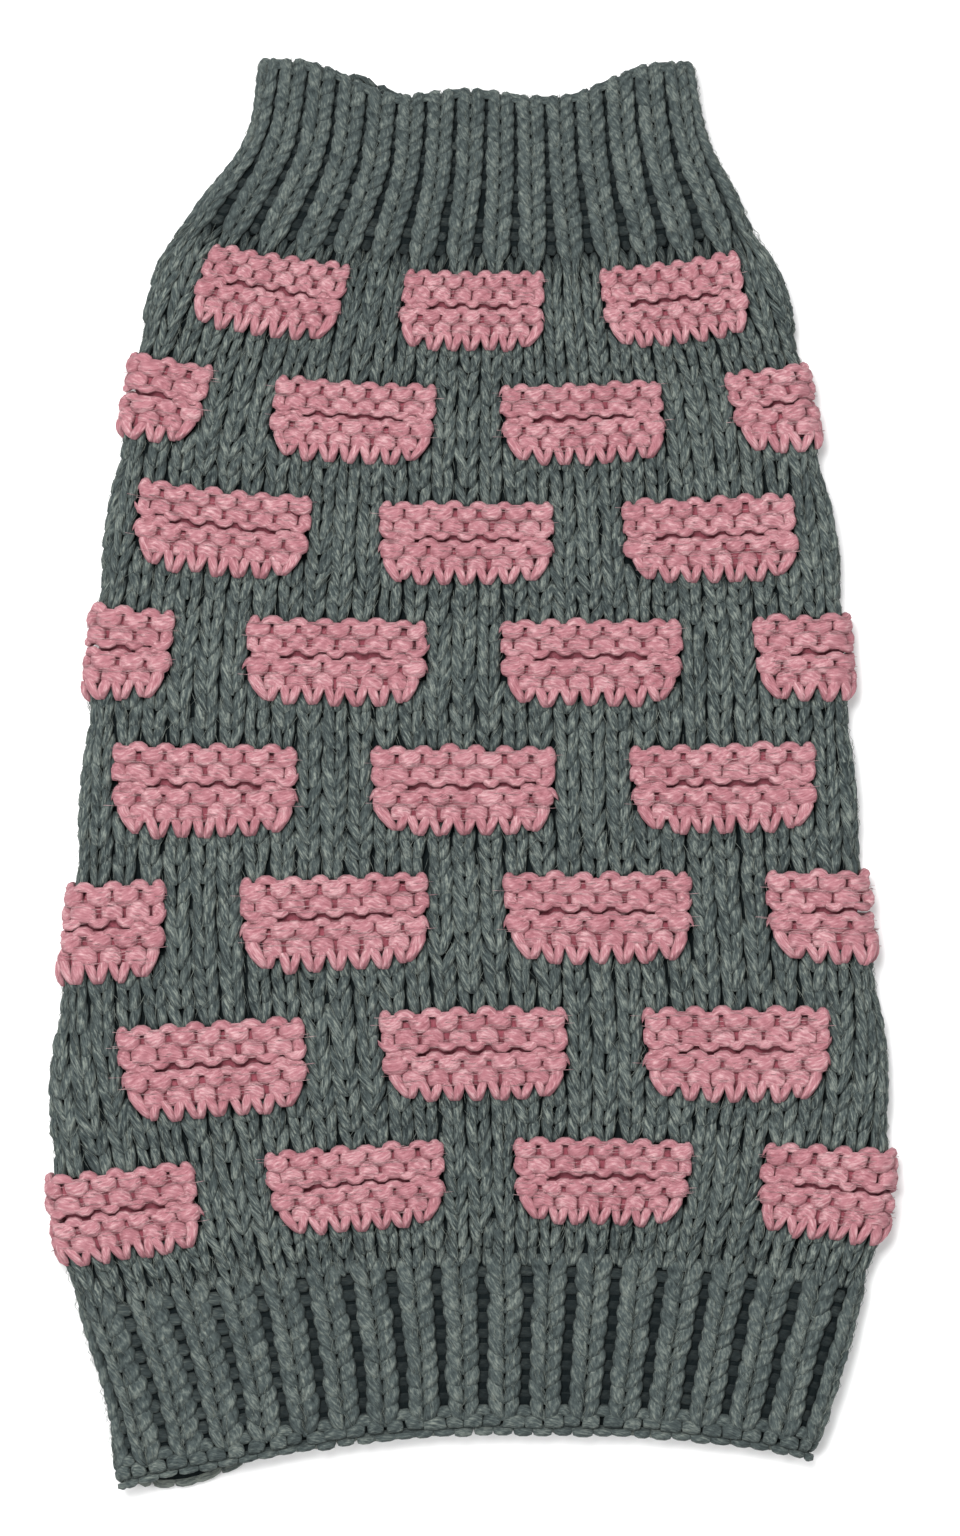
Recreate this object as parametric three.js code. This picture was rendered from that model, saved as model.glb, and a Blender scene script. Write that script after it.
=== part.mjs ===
// Knitted dog sweater, laid flat on its belly with its back side up.
// Millimetres, +Z up, +Y towards the collar, +X to the right seen from above.
// The origin is on the surface that the sweater lies on, under the middle of its outline.
import * as THREE from "three";

// Driving dimensions
const bodyWall = 4.4;
const ribWall = 4.9;
const pieceGap = 0.3;
const seamShare = 0.72; // distance of the belly seams from the middle, as a share of the half width
const collarRows = 13;
const bodyRows = 57.5;
const hemEdgeRow = 68.5;
const castOffRow = 67; // the cast-off edge starts here, and the ribs end
const edgeRounding = 1.3;
const neckRibDepth = 2.2;
const hemRibDepth = 1.9;
const bandSink = 0.8; // the plain rows between two rows of blocks lie this much lower
const collarDent = 1.0; // soft hollow in the back panel under the middle of the collar
const rimCrown = { share: -0.08, halfWidth: 0.35, height: 2.2 }; // the rim is a little higher near its middle

// Pattern of the blocks, in stitches and rows
const patternStitches = 10;
const patternRows = 7;
const blockRows = 8;
const blockHalfWidth = 3.6;
const blockFirstRow = 1;
const blockLength = 5;
const blockFoldEnd = THREE.MathUtils.degToRad(125); // the side blocks end under the fold, clear of the floor

// Leg openings in the belly panel
const legOpening = { width: 38, length: 46, x: 38, y: 98, points: 28 };
const panelChamfer = 0.7;

// Colours of the two yarns
const greyYarn = new THREE.MeshStandardMaterial({ color: 0x565b5b, roughness: 0.95, metalness: 0 });
const pinkYarn = new THREE.MeshStandardMaterial({ color: 0xb88187, roughness: 0.95, metalness: 0 });

// Outline and height of the flat tube, one line for each knitted row that is a station.
// row: rows below the collar seam. middle: Y at the middle. left, right: X of the side folds.
// riseLeft, riseRight: how much further up the fold lies than the middle of the same row.
// bendLeft, bendRight: power of the curve that the row takes towards its fold.
// centre: X of the centre stitch. pitch: width of one stitch.
// height, foldHeight: thickness of the whole garment at the middle and at the folds.
const stationColumns = ["row", "middle", "left", "right", "riseLeft", "riseRight", "bendLeft", "bendRight",
  "centre", "pitch", "height", "foldHeight"];
const stationRows = [
  [-13, 181.0, -57.6, 58.4, 10.1, 9.3, 2.3, 2.3, 3.0, 3.9, 11.4, 12.8],
  [-6.5, 159.7, -61.8, 63.1, 9.6, 8.5, 2.3, 2.3, 2.6, 4.2, 11.4, 12.8],
  [0, 137.8, -78.3, 75.8, 9.8, 8.0, 1.9, 2.7, 0.6, 5.0, 10.6, 12.2],
  [3.5, 122.6, -85.6, 83.1, 10.7, 6.8, 1.8, 2.9, -0.7, 5.4, 9.8, 11.6],
  [10.5, 92.7, -92.1, 89.4, 7.7, 5.3, 2.2, 2.3, -1.8, 6.15, 9.5, 11.4],
  [17.5, 60.9, -98.0, 96.6, 7.5, 2.6, 2.1, 2.5, -2.2, 6.5, 9.5, 11.4],
  [24.5, 29.4, -102.0, 99.3, 2.6, 1.6, 2.2, 2.3, -2.9, 6.8, 9.5, 11.4],
  [31.5, -5.0, -104.9, 101.7, 0.6, 1.6, 1.8, 2.3, -2.8, 6.9, 9.5, 11.4],
  [38.5, -38.3, -108.3, 104.7, -4.8, 0.2, 1.1, 2.3, -2.1, 7.0, 9.5, 11.4],
  [45.5, -75.2, -113.4, 110.0, -7.2, -0.2, 1.2, 2.3, 0.2, 6.95, 9.5, 11.4],
  [52.5, -108.4, -111.4, 110.1, -12.0, -5.0, 1.4, 2.3, 1.4, 6.5, 9.6, 11.4],
  [57.5, -131.6, -105.9, 104.0, -12.3, -7.0, 1.5, 2.5, 1.9, 6.0, 10.2, 11.8],
  [63, -153.8, -98.9, 98.3, -13.4, -7.2, 1.6, 2.7, 2.5, 5.55, 11.2, 12.4],
  [68.5, -176.2, -95.6, 90.6, -15.0, -6.9, 1.6, 2.9, 2.5, 5.2, 11.2, 12.4],
];

// Cross profile of a pink block along the rows: two thick lobes with a groove between them.
const blockProfileColumns = ["row", "proud"];
const blockProfileRows = [
  [0, 1.0],
  [0.55, 2.6],
  [1.6, 3.1],
  [2.35, 2.0],
  [3.1, 3.1],
  [4.4, 2.9],
  [5, 1.1],
];
const blockEdgeInset = 0.9; // stitches from the side of a block to its full height
const blockEdgeShare = 0.45; // height at the side of a block, as a share of the full height

// Where the layer underneath shows past the upper one: at the collar's rim and at the hem.
const peekColumns = ["edgeRow", "fadeRows", "place", "halfWidth", "reach"];
const peekRows = [
  [-13, 6, -0.5, 0.22, 2.6],
  [68.5, 8, -0.8, 0.22, -3.8],
];

const clamp01 = (value) => THREE.MathUtils.clamp(value, 0, 1);
const smooth01 = (value) => THREE.MathUtils.smoothstep(value, 0, 1);

function namedRows(columns, rows) {
  return rows.map((row) => Object.fromEntries(columns.map((name, index) => [name, row[index]])));
}

const stations = namedRows(stationColumns, stationRows);
const blockProfile = namedRows(blockProfileColumns, blockProfileRows);
const peeks = namedRows(peekColumns, peekRows);

// Smooth values between the stations: a Hermite curve with the slope of the two neighbours.
function slopeAt(index, column) {
  const before = stations[Math.max(index - 1, 0)];
  const after = stations[Math.min(index + 1, stations.length - 1)];
  return (after[column] - before[column]) / (after.row - before.row);
}

function stationAt(row) {
  let index = stations.findIndex((station) => station.row > row) - 1;
  if (index < 0) index = stations.length - 2;
  const from = stations[index];
  const to = stations[index + 1];
  const span = to.row - from.row;
  const part = (row - from.row) / span;
  const result = { row };
  for (const column of stationColumns.slice(1)) {
    const startSlope = slopeAt(index, column) * span;
    const endSlope = slopeAt(index + 1, column) * span;
    const square = part * part;
    const cube = square * part;
    result[column] = (2 * cube - 3 * square + 1) * from[column] + (cube - 2 * square + part) * startSlope
      + (3 * square - 2 * cube) * to[column] + (cube - square) * endSlope;
  }
  return result;
}

// Half of the cross-section on one side: a flat stretch, then a half round fold, then the underside.
function halfSection(station, side) {
  const reach = side < 0 ? station.centre - station.left : station.right - station.centre;
  const radius = station.foldHeight / 2;
  const flat = reach - radius;
  return { reach, radius, flat, underStart: flat + Math.PI * radius, whole: 2 * flat + Math.PI * radius };
}

// The front edge of the collar dips with two rounded corners, and lower rows are plain curves.
function rowY(station, share) {
  const left = share < 0;
  const distance = Math.abs(share);
  const curve = distance ** (left ? station.bendLeft : station.bendRight);
  const corner = smooth01((distance - 0.33) / 0.5);
  const cornerPart = clamp01(-station.row / collarRows) ** 1.5;
  const rise = left ? station.riseLeft : station.riseRight;
  const crown = rimCrown.height * smooth01(1 - Math.abs(share - rimCrown.share) / rimCrown.halfWidth);
  return station.middle + rise * THREE.MathUtils.lerp(curve, corner, cornerPart) + crown * cornerPart;
}

function peekY(row, share) {
  let shift = 0;
  for (const peek of peeks) {
    const nearEdge = 1 - clamp01(Math.abs(row - peek.edgeRow) / peek.fadeRows);
    const nearPlace = 1 - clamp01(Math.abs(share - peek.place) / peek.halfWidth);
    shift += peek.reach * smooth01(nearEdge) * smooth01(nearPlace);
  }
  return shift;
}

// A point of the cloth. row counts down from the collar seam, across is the distance over the cloth
// from the centre stitch, and out moves the point out of the cloth (or into it when negative).
function clothPoint(row, across, out) {
  const station = stationAt(row);
  const side = across < 0 ? -1 : 1;
  const half = halfSection(station, side);
  const distance = Math.abs(across);
  let x;
  let xOnSkin;
  let z;
  let peek = 0;
  if (distance <= half.flat) {
    const towardsFold = clamp01((distance / half.flat - 0.6) / 0.4);
    x = distance;
    xOnSkin = distance;
    z = station.height + (station.foldHeight - station.height) * towardsFold ** 2 + out;
  } else if (distance < half.underStart) {
    const angle = (distance - half.flat) / half.radius;
    x = half.flat + (half.radius + out) * Math.sin(angle);
    xOnSkin = half.flat + half.radius * Math.sin(angle);
    z = half.radius + (half.radius + out) * Math.cos(angle);
  } else {
    x = half.flat - (distance - half.underStart);
    xOnSkin = x;
    z = -out;
    peek = peekY(row, (side * x) / half.reach);
  }
  const y = rowY(station, (side * xOnSkin) / half.reach) + peek;
  return new THREE.Vector3(station.centre + side * x, y, z);
}

// A closed body between two grids of points, the outer and the inner skin of a wall.
// grid[j][i]: j runs down the garment, i runs across it from left to right.
function wallBetween(outer, inner, ring) {
  const rows = outer.length;
  const columns = outer[0].length;
  const positions = [];
  const indices = [];
  for (const grid of [outer, inner]) {
    for (const line of grid) {
      for (const point of line) positions.push(point.x, point.y, point.z);
    }
  }
  const outerAt = (j, i) => j * columns + (i % columns);
  const innerAt = (j, i) => rows * columns + outerAt(j, i);
  const quad = (a, b, c, d) => indices.push(a, b, c, a, c, d);
  const lastColumn = ring ? columns : columns - 1;
  for (let i = 0; i < lastColumn; i += 1) {
    for (let j = 0; j < rows - 1; j += 1) {
      quad(outerAt(j, i), outerAt(j + 1, i), outerAt(j + 1, i + 1), outerAt(j, i + 1));
      quad(innerAt(j, i), innerAt(j, i + 1), innerAt(j + 1, i + 1), innerAt(j + 1, i));
    }
    quad(outerAt(0, i), outerAt(0, i + 1), innerAt(0, i + 1), innerAt(0, i));
    quad(outerAt(rows - 1, i), innerAt(rows - 1, i), innerAt(rows - 1, i + 1), outerAt(rows - 1, i + 1));
  }
  if (!ring) {
    for (let j = 0; j < rows - 1; j += 1) {
      const end = columns - 1;
      quad(outerAt(j, 0), innerAt(j, 0), innerAt(j + 1, 0), outerAt(j + 1, 0));
      quad(outerAt(j, end), outerAt(j + 1, end), innerAt(j + 1, end), innerAt(j, end));
    }
  }
  const geometry = new THREE.BufferGeometry();
  geometry.setAttribute("position", new THREE.Float32BufferAttribute(positions, 3));
  geometry.setIndex(indices);
  return geometry;
}

function namedMesh(name, geometry, material) {
  geometry.computeVertexNormals();
  const mesh = new THREE.Mesh(geometry, material);
  mesh.name = name;
  return mesh;
}

// Rows at the two seams, each moved back from its seam by half of the gap. The two sides of a seam
// have their points at different places, so the gap is a little wider at the points themselves.
const seamSlack = 2;
function rowsForGap(seamRow) {
  const step = 0.1;
  const rowHeight = (stationAt(seamRow - step).middle - stationAt(seamRow + step).middle) / (2 * step);
  return (pieceGap * seamSlack) / 2 / rowHeight;
}
const collarSeamGap = rowsForGap(0);
const hemSeamGap = rowsForGap(bodyRows);

// Ribbed tubes: raised knit columns over a plain inside. The knit columns are the odd stitches.
const ribCrownHalf = 0.58; // half width of a rib's crown, in stitches
const ribTroughHalf = 0.24; // half width of the groove between two ribs, in stitches
const lastRibStitch = 17; // the ribs are raised up to this stitch, just under the fold
const foldPlainPoints = 3; // plain places from the last rib to the end of the fold
const underPlainPoints = 5; // plain places from there to the middle of the underside

// Places across one side of the tube, each with its share of the groove depth. The collar's ribs have
// a point on their middle too, because its rim and its seam are more strongly curved than the hem's.
function ribStops(row, pointOnCrown) {
  const station = stationAt(row);
  const sides = { "-1": [], 1: [] };
  for (const side of [-1, 1]) {
    const half = halfSection(station, side);
    for (let stitch = 0; stitch <= lastRibStitch; stitch += 1) {
      const isRib = stitch % 2 === 1;
      const halfWidth = isRib ? ribCrownHalf : ribTroughHalf;
      const places = stitch === 0 ? [halfWidth] : [stitch - halfWidth, stitch + halfWidth];
      if (isRib && pointOnCrown) places.splice(1, 0, stitch);
      for (const place of places) {
        sides[side].push({ across: side * place * station.pitch, groove: isRib ? 0 : 1 });
      }
    }
    const ribEnd = Math.abs(sides[side].at(-1).across);
    for (let step = 1; step <= foldPlainPoints; step += 1) {
      const across = THREE.MathUtils.lerp(ribEnd, half.underStart, step / foldPlainPoints);
      sides[side].push({ across: side * across, groove: 0 });
    }
    for (let step = 1; step <= underPlainPoints; step += 1) {
      const across = THREE.MathUtils.lerp(half.underStart, half.whole, step / (underPlainPoints + 0.5));
      sides[side].push({ across: side * across, groove: 0 });
    }
  }
  return [...sides["-1"].reverse(), ...sides[1]];
}

// The grooves fade out round the underside of a fold, where the ribs lie flat.
function grooveFade(row, across) {
  const half = halfSection(stationAt(row), across < 0 ? -1 : 1);
  const angle = (Math.abs(across) - half.flat) / half.radius;
  return 1 - smooth01((angle - 1.7) / 1.0);
}

function ribbedTube(name, rings, pointOnCrown) {
  const outer = [];
  const inner = [];
  for (const ring of rings) {
    const stops = ribStops(ring.row, pointOnCrown);
    outer.push(stops.map(({ across, groove }) => {
      const depth = ring.depth * groove * grooveFade(ring.row, across);
      return clothPoint(ring.row, across, -depth - ring.rounding);
    }));
    inner.push(stops.map(({ across }) => clothPoint(ring.row, across, ring.rounding - ribWall)));
  }
  return namedMesh(name, wallBetween(outer, inner, true), greyYarn);
}

function neckRib() {
  const rings = [
    { row: -collarRows, depth: 1.2, rounding: edgeRounding },
    { row: -collarRows + 0.35, depth: neckRibDepth, rounding: 0 },
    { row: -9, depth: neckRibDepth, rounding: 0 },
    { row: -5, depth: neckRibDepth, rounding: 0 },
    { row: -2, depth: 0.8 * neckRibDepth, rounding: 0 },
    { row: -collarSeamGap, depth: 0.5 * neckRibDepth, rounding: 0 },
  ];
  return ribbedTube("neck_rib", rings, true);
}

function hemRib() {
  const rings = [
    { row: bodyRows + hemSeamGap, depth: 0.6 * hemRibDepth, rounding: 0 },
    { row: bodyRows + 1.5, depth: hemRibDepth, rounding: 0 },
    { row: 63, depth: hemRibDepth, rounding: 0 },
    { row: castOffRow, depth: hemRibDepth, rounding: 0 },
    { row: castOffRow + 0.5, depth: 0.3, rounding: 0.2 },
    { row: hemEdgeRow, depth: 0, rounding: edgeRounding },
  ];
  return ribbedTube("hem_rib", rings, false);
}

// Back panel: from one belly seam round the left fold, over the top and round to the other seam.
const flatShares = [0, 0.06, 0.16, 0.3, 0.45, 0.6, 0.74, 0.88, 1];
const foldSteps = 6;

function panelStops(row) {
  const station = stationAt(row);
  const stops = { "-1": [], 1: [] };
  for (const side of [-1, 1]) {
    const half = halfSection(station, side);
    for (const share of flatShares) stops[side].push(side * share * half.flat);
    for (let step = 1; step <= foldSteps; step += 1) {
      stops[side].push(side * (half.flat + (Math.PI * half.radius * step) / foldSteps));
    }
    stops[side].push(side * (half.underStart + half.flat - seamShare * half.reach));
  }
  return [...stops["-1"].reverse(), ...stops[1].slice(1)];
}

// The plain rows between the blocks lie lower on the upper side, and so does a dent under the collar.
function panelSink(row, across, inBand) {
  const half = halfSection(stationAt(row), across < 0 ? -1 : 1);
  const angle = (Math.abs(across) - half.flat) / half.radius;
  const upper = 1 - smooth01((angle - 1.2) / 1.0);
  const nearCollar = 1 - clamp01(row / 4);
  const nearMiddle = 1 - clamp01(Math.abs(across) / 40);
  return (inBand ? bandSink : 0) * upper + collarDent * smooth01(nearCollar) * smooth01(nearMiddle);
}

function panelRings() {
  const rings = [{ row: collarSeamGap, inBand: false }];
  for (let block = 0; block < blockRows; block += 1) {
    const start = block * patternRows;
    if (block > 0) rings.push({ row: start, inBand: true });
    rings.push({ row: start + blockFirstRow, inBand: false });
    rings.push({ row: start + blockFirstRow + blockLength, inBand: false });
  }
  rings.push({ row: blockRows * patternRows, inBand: true });
  rings.push({ row: bodyRows - hemSeamGap, inBand: false });
  return rings;
}

function backPanel() {
  const outer = [];
  const inner = [];
  for (const { row, inBand } of panelRings()) {
    const stops = panelStops(row);
    outer.push(stops.map((across) => clothPoint(row, across, -panelSink(row, across, inBand))));
    inner.push(stops.map((across) => clothPoint(row, across, -bodyWall)));
  }
  return namedMesh("back_panel", wallBetween(outer, inner, false), greyYarn);
}

// Belly panel: a flat plate between the two seams, with the two leg openings.
function bellyPanel() {
  const sideRows = panelRings().map((ring) => ring.row);
  const firstRow = sideRows[0];
  const lastRow = sideRows.at(-1);
  const edgePoints = 10;
  const seamPoint = (row, side) => {
    const station = stationAt(row);
    const half = halfSection(station, side);
    const x = seamShare * half.reach - pieceGap;
    return new THREE.Vector2(station.centre + side * x, rowY(station, (side * x) / half.reach));
  };
  const edgePoint = (row, part) => {
    const station = stationAt(row);
    const from = seamPoint(row, -1).x;
    const to = seamPoint(row, 1).x;
    const x = THREE.MathUtils.lerp(from, to, part);
    const side = x < station.centre ? -1 : 1;
    const share = (x - station.centre) / halfSection(station, side).reach;
    return new THREE.Vector2(x, rowY(station, share));
  };
  const outline = [];
  for (let step = 0; step < edgePoints; step += 1) outline.push(edgePoint(lastRow, step / edgePoints));
  for (const row of sideRows.slice(1).reverse()) outline.push(seamPoint(row, 1));
  for (let step = 0; step < edgePoints; step += 1) outline.push(edgePoint(firstRow, 1 - step / edgePoints));
  for (const row of sideRows.slice(0, -1)) outline.push(seamPoint(row, -1));
  const shape = new THREE.Shape(outline);
  for (const side of [-1, 1]) {
    const hole = new THREE.Path();
    hole.absellipse(side * legOpening.x, legOpening.y, legOpening.width / 2, legOpening.length / 2, 0, 2 * Math.PI);
    shape.holes.push(new THREE.Path(hole.getSpacedPoints(legOpening.points).slice(0, -1)));
  }
  const geometry = new THREE.ExtrudeGeometry(shape, {
    depth: bodyWall - 2 * panelChamfer,
    bevelEnabled: true,
    bevelSegments: 1,
    bevelSize: panelChamfer,
    bevelOffset: -panelChamfer,
    bevelThickness: panelChamfer,
  });
  geometry.translate(0, 0, panelChamfer);
  return namedMesh("belly_panel", geometry, greyYarn);
}

// Pink blocks: half-drop bricks, three in the odd rows and two with one round each fold in the even ones.
function blockAcross(row, place) {
  const station = stationAt(row);
  const stops = [];
  if (!place.wraps) {
    const edges = [-blockHalfWidth, -blockHalfWidth + blockEdgeInset, 0, blockHalfWidth - blockEdgeInset,
      blockHalfWidth];
    edges.forEach((offset, index) => {
      const atSide = index === 0 || index === edges.length - 1;
      stops.push({ across: (place.centre + offset) * station.pitch, full: !atSide });
    });
    return stops;
  }
  const side = Math.sign(place.centre);
  const half = halfSection(station, side);
  const start = (Math.abs(place.centre) - blockHalfWidth) * station.pitch;
  const end = Math.min(half.flat + half.radius * blockFoldEnd,
    (Math.abs(place.centre) + blockHalfWidth) * station.pitch);
  const edge = blockEdgeInset * station.pitch;
  const foldStep = (Math.PI * half.radius) / foldSteps;
  const places = [start, start + edge];
  for (let step = 0; step <= 3; step += 1) places.push(half.flat + step * foldStep);
  places.push(half.flat + 3.6 * foldStep, end);
  places.forEach((distance, index) => {
    const atSide = index === 0 || index === places.length - 1;
    stops.push({ across: side * distance, full: !atSide });
  });
  return side < 0 ? stops.reverse() : stops;
}

// The panel is straight from a block's first row to its last, and so is the block's underside.
function block(name, rowNumber, place) {
  const firstRow = (rowNumber - 1) * patternRows + blockFirstRow;
  const lastRow = firstRow + blockLength;
  const firstStops = blockAcross(firstRow, place);
  const lastStops = blockAcross(lastRow, place);
  const blockPoint = (index, part, out) => {
    const first = clothPoint(firstRow, firstStops[index].across, out);
    const last = clothPoint(lastRow, lastStops[index].across, out);
    return first.lerp(last, part);
  };
  const outer = [];
  const inner = [];
  for (const line of blockProfile) {
    const part = line.row / blockLength;
    outer.push(firstStops.map(({ full }, index) => {
      return blockPoint(index, part, pieceGap + line.proud * (full ? 1 : blockEdgeShare));
    }));
    inner.push(firstStops.map((stop, index) => blockPoint(index, part, pieceGap)));
  }
  return namedMesh(name, wallBetween(outer, inner, false), pinkYarn);
}

const oddPlaces = [
  { label: "left", centre: -patternStitches, wraps: false },
  { label: "middle", centre: 0, wraps: false },
  { label: "right", centre: patternStitches, wraps: false },
];
const evenPlaces = [
  { label: "left_fold", centre: -1.5 * patternStitches, wraps: true },
  { label: "left", centre: -0.5 * patternStitches, wraps: false },
  { label: "right", centre: 0.5 * patternStitches, wraps: false },
  { label: "right_fold", centre: 1.5 * patternStitches, wraps: true },
];

function pinkBlocks() {
  const blocks = new THREE.Group();
  for (let rowNumber = 1; rowNumber <= blockRows; rowNumber += 1) {
    const places = rowNumber % 2 === 1 ? oddPlaces : evenPlaces;
    for (const place of places) blocks.add(block(`brick_${rowNumber}_${place.label}`, rowNumber, place));
  }
  return blocks;
}

const sweater = new THREE.Group();
sweater.add(neckRib(), backPanel(), bellyPanel(), hemRib(), pinkBlocks());

export default sweater;
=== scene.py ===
# %% [markdown]
# # A knitted dog sweater, laid flat
# The sweater is a flattened tube of thick knitting: a ribbed collar, a grey body with raised pink
# blocks in a brick layout, and a ribbed hem. This lesson dresses the plain solids of the part in
# real stitches. A surface of stitches could be painted with bump alone, but from a hand's width away
# the loops cast shadows on each other, so here every stitch is a small rope with its own shape.

# %% Load the frame
import math

import bpy
import numpy as np
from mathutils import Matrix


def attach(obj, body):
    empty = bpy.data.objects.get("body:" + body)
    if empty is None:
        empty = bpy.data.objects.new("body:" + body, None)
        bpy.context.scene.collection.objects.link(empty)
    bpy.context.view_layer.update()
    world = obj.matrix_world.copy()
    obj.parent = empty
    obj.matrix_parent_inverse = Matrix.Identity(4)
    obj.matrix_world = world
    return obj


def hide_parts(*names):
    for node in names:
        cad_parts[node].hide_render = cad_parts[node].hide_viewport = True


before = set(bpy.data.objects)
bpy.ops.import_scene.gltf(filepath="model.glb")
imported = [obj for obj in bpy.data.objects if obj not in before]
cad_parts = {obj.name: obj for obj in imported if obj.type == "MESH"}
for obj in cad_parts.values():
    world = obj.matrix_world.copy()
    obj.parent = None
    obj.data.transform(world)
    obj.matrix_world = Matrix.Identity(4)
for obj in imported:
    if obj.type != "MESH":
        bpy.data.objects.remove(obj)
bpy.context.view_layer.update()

# %% [markdown]
# ## The outline as a table of knitted rows
# A knitter counts in stitches and rows, and so does this lesson. Each line of the table is one row of
# the tube: where its middle and its two folds lie, how the row bends, how wide a stitch is, and how
# thick the garment is there. Everything else is worked out between these lines. The numbers are
# millimetres, as on a tape measure, and the last step of each function turns them into metres.

# %% The stations
MM = 0.001
STATION_COLUMNS = ("row", "middle", "left", "right", "rise_left", "rise_right", "bend_left",
                   "bend_right", "centre", "pitch", "height", "fold_height")
STATION_ROWS = np.array([
    (-13, 181.0, -57.6, 58.4, 10.1, 9.3, 2.3, 2.3, 3.0, 3.9, 11.4, 12.8),
    (-6.5, 159.7, -61.8, 63.1, 9.6, 8.5, 2.3, 2.3, 2.6, 4.2, 11.4, 12.8),
    (0, 137.8, -78.3, 75.8, 9.8, 8.0, 1.9, 2.7, 0.6, 5.0, 10.6, 12.2),
    (3.5, 122.6, -85.6, 83.1, 10.7, 6.8, 1.8, 2.9, -0.7, 5.4, 9.8, 11.6),
    (10.5, 92.7, -92.1, 89.4, 7.7, 5.3, 2.2, 2.3, -1.8, 6.15, 9.5, 11.4),
    (17.5, 60.9, -98.0, 96.6, 7.5, 2.6, 2.1, 2.5, -2.2, 6.5, 9.5, 11.4),
    (24.5, 29.4, -102.0, 99.3, 2.6, 1.6, 2.2, 2.3, -2.9, 6.8, 9.5, 11.4),
    (31.5, -5.0, -104.9, 101.7, 0.6, 1.6, 1.8, 2.3, -2.8, 6.9, 9.5, 11.4),
    (38.5, -38.3, -108.3, 104.7, -4.8, 0.2, 1.1, 2.3, -2.1, 7.0, 9.5, 11.4),
    (45.5, -75.2, -113.4, 110.0, -7.2, -0.2, 1.2, 2.3, 0.2, 6.95, 9.5, 11.4),
    (52.5, -108.4, -111.4, 110.1, -12.0, -5.0, 1.4, 2.3, 1.4, 6.5, 9.6, 11.4),
    (57.5, -131.6, -105.9, 104.0, -12.3, -7.0, 1.5, 2.5, 1.9, 6.0, 10.2, 11.8),
    (63, -153.8, -98.9, 98.3, -13.4, -7.2, 1.6, 2.7, 2.5, 5.55, 11.2, 12.4),
    (68.5, -176.2, -95.6, 90.6, -15.0, -6.9, 1.6, 2.9, 2.5, 5.2, 11.2, 12.4),
])
COLLAR_ROWS = 13
BODY_ROWS = 57.5
HEM_EDGE_ROW = 68.5
SEAM_SHARE = 0.72
PIECE_GAP = 0.3


def station_slopes():
    rows = STATION_ROWS[:, :1]
    before = np.maximum(np.arange(len(rows)) - 1, 0)
    after = np.minimum(np.arange(len(rows)) + 1, len(rows) - 1)
    return (STATION_ROWS[after] - STATION_ROWS[before]) / (rows[after] - rows[before])


STATION_SLOPES = station_slopes()


def station_at(row):
    """The table's columns at any row, as smooth curves through the stations."""
    row = np.asarray(row, float)
    index = np.clip(np.searchsorted(STATION_ROWS[:, 0], row, side="right") - 1, 0, len(STATION_ROWS) - 2)
    start, end = STATION_ROWS[index], STATION_ROWS[index + 1]
    span = (end[..., :1] - start[..., :1])
    part = (row[..., None] - start[..., :1]) / span
    square, cube = part ** 2, part ** 3
    values = ((2 * cube - 3 * square + 1) * start + (cube - 2 * square + part) * STATION_SLOPES[index] * span
              + (3 * square - 2 * cube) * end + (cube - square) * STATION_SLOPES[index + 1] * span)
    return {name: values[..., i] for i, name in enumerate(STATION_COLUMNS)}


widest = station_at(np.linspace(0, BODY_ROWS, 200))
print("widest body, mm:", round(float((widest["right"] - widest["left"]).max()), 1))

# %% [markdown]
# ## From stitches to places
# The cloth is a flat stretch on top, a round fold at each side and a flat stretch underneath. The
# next functions follow that path: a distance over the cloth from the centre stitch gives a point, and
# "out" lifts the point off the cloth. A stitch modelled flat is later laid through these functions,
# so it bends round the folds and narrows at the collar as real knitting does.

# %% The cloth's surface
RIM_CROWN = {"share": -0.08, "half": 0.35, "height": 2.2}
RIM_CORNER = {"start": 0.33, "span": 0.5}
SWELL_START = 0.6
PEEKS = {"collar": {"edge": -COLLAR_ROWS, "fade": 6, "place": -0.5, "half": 0.22, "reach": 2.6},
         "hem": {"edge": HEM_EDGE_ROW, "fade": 8, "place": -0.8, "half": 0.22, "reach": -3.8}}


def smooth(value):
    value = np.clip(value, 0, 1)
    return value * value * (3 - 2 * value)


def half_section(station, side):
    reach = np.where(side < 0, station["centre"] - station["left"], station["right"] - station["centre"])
    radius = station["fold_height"] / 2
    flat = reach - radius
    return {"reach": reach, "radius": radius, "flat": flat, "under": flat + math.pi * radius,
            "whole": 2 * flat + math.pi * radius}


def row_y(station, share):
    """The curve of one row across the garment; the collar's rim dips with two rounded corners."""
    distance = np.abs(share)
    curve = distance ** np.where(share < 0, station["bend_left"], station["bend_right"])
    corner = smooth((distance - RIM_CORNER["start"]) / RIM_CORNER["span"])
    corner_part = np.clip(-station["row"] / COLLAR_ROWS, 0, 1) ** 1.5
    rise = np.where(share < 0, station["rise_left"], station["rise_right"])
    crown = RIM_CROWN["height"] * smooth(1 - np.abs(share - RIM_CROWN["share"]) / RIM_CROWN["half"])
    return station["middle"] + rise * (curve + (corner - curve) * corner_part) + crown * corner_part


def peek_y(row, share):
    """The lower layer shows a little past the upper one in two places."""
    shift = 0
    for peek in PEEKS.values():
        near_edge = 1 - np.clip(np.abs(row - peek["edge"]) / peek["fade"], 0, 1)
        near_place = 1 - np.clip(np.abs(share - peek["place"]) / peek["half"], 0, 1)
        shift = shift + peek["reach"] * smooth(near_edge) * smooth(near_place)
    return shift


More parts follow.
